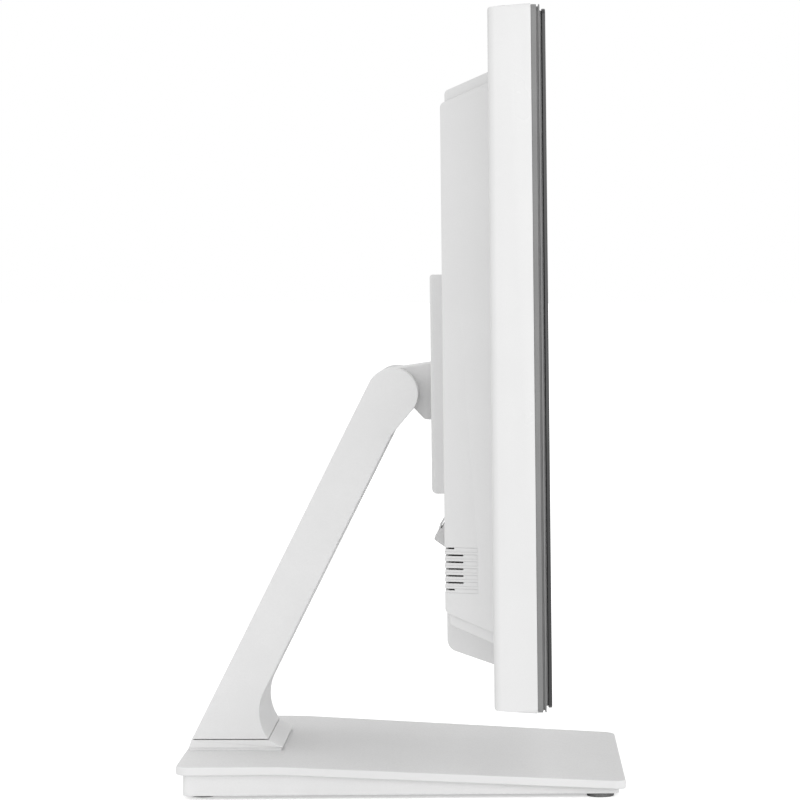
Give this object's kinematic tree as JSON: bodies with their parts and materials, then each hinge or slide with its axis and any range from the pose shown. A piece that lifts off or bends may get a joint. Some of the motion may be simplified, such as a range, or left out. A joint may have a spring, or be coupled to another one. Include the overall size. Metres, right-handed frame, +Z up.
{
  "type": "all-in-one desktop computer",
  "caption": "Desktop computer built into a widescreen display, tilting on a leaning neck with a wedge-shaped foot; ports face the back.",
  "frame": {"origin": "middle of the footprint on the desk, under the centre of the foot", "axes": "+Z up, screen faces -Y, +X to the right of someone looking at the screen"},
  "size_m": [0.53, 0.237, 0.4028],
  "materials": {
    "white_plastic": "fine satin",
    "stand_plastic": "fine texture",
    "foot_plastic": "leather-like grain",
    "key_plastic": "satin",
    "frame_plastic": "satin",
    "black_glass": "polished",
    "dark_plastic": "matte",
    "rubber_grey": "matte",
    "steel_sheet": "zinc plated",
    "steel_part": "machined",
    "white_casting": "fine satin",
    "fin_metal": "mill",
    "copper_metal": "bright",
    "board_green": "solder mask",
    "ribbon_film": "film"
  },
  "bodies": {
    "stand": {"base_top_plate": "foot_plastic", "base_pan": "stand_plastic", "base_weight": "steel_sheet", "rubber_feet": "rubber_grey", "base_screws": "steel_part", "neck_plinth": "stand_plastic", "neck_shell": "stand_plastic", "neck_front_cover": "stand_plastic", "neck_spine": "steel_sheet", "spine_bolts": "steel_part", "tilt_shaft": "steel_part", "friction_washers": "steel_part", "shaft_nuts": "steel_part"},
    "head": {"tilt_knuckle": "white_casting", "knuckle_bolts": "steel_part", "bracket_plate": "steel_sheet", "bracket_cover": "white_plastic", "bracket_screws": "steel_part", "rear_housing": "white_plastic", "rear_cover": "white_plastic", "cover_screws": "steel_part", "port_cover": "white_plastic", "port_panel": "steel_sheet", "data_sockets": "steel_part", "network_socket": "steel_part", "video_socket": "steel_part", "audio_jacks": "dark_plastic", "power_inlet": "dark_plastic", "vent_mesh": "dark_plastic", "cable_clip": "white_plastic", "front_frame": "frame_plastic", "front_glass": "black_glass", "display_panel": "dark_plastic", "chassis_tray": "steel_sheet", "main_board": "board_green", "board_screws": "steel_part", "heat_spreader": "copper_metal", "heat_pipe": "copper_metal", "fin_stack": "fin_metal", "blower_housing": "dark_plastic", "memory_modules": "board_green", "storage_drive": "fin_metal", "drive_cage": "steel_sheet", "wireless_card": "board_green", "speakers": "dark_plastic", "camera_module": "board_green", "panel_driver": "board_green", "panel_ribbon": "ribbon_film", "key_board": "board_green"},
    "blower_rotor": {"blower_rotor": "dark_plastic"},
    "power_button": {"power_button": "key_plastic"},
    "key_up": {"key_up": "key_plastic"},
    "key_down": {"key_down": "key_plastic"},
    "key_menu": {"key_menu": "key_plastic"}
  },
  "joints": [
    {"name": "head_tilt", "type": "hinge", "parent": "stand", "child": "head", "pos_m": [0, 0.0067, 0.2111], "axis": [-1, 0, 0], "range_deg": [-5, 20]},
    {"name": "blower_spin", "type": "hinge", "parent": "head", "child": "blower_rotor", "pos_m": [0.1658, -0.04332, 0.20922], "axis": [0, 0.9999, -0.0105], "continuous": true},
    {"name": "power_button_press", "type": "slide", "parent": "head", "child": "power_button", "axis": [-1, 0, 0], "range_m": [0, 0.0008], "stiffness_N_per_m": 900},
    {"name": "key_up_press", "type": "slide", "parent": "head", "child": "key_up", "axis": [-1, 0, 0], "range_m": [0, 0.0008], "stiffness_N_per_m": 900},
    {"name": "key_down_press", "type": "slide", "parent": "head", "child": "key_down", "axis": [-1, 0, 0], "range_m": [0, 0.0008], "stiffness_N_per_m": 900},
    {"name": "key_menu_press", "type": "slide", "parent": "head", "child": "key_menu", "axis": [-1, 0, 0], "range_m": [0, 0.0008], "stiffness_N_per_m": 900}
  ]
}
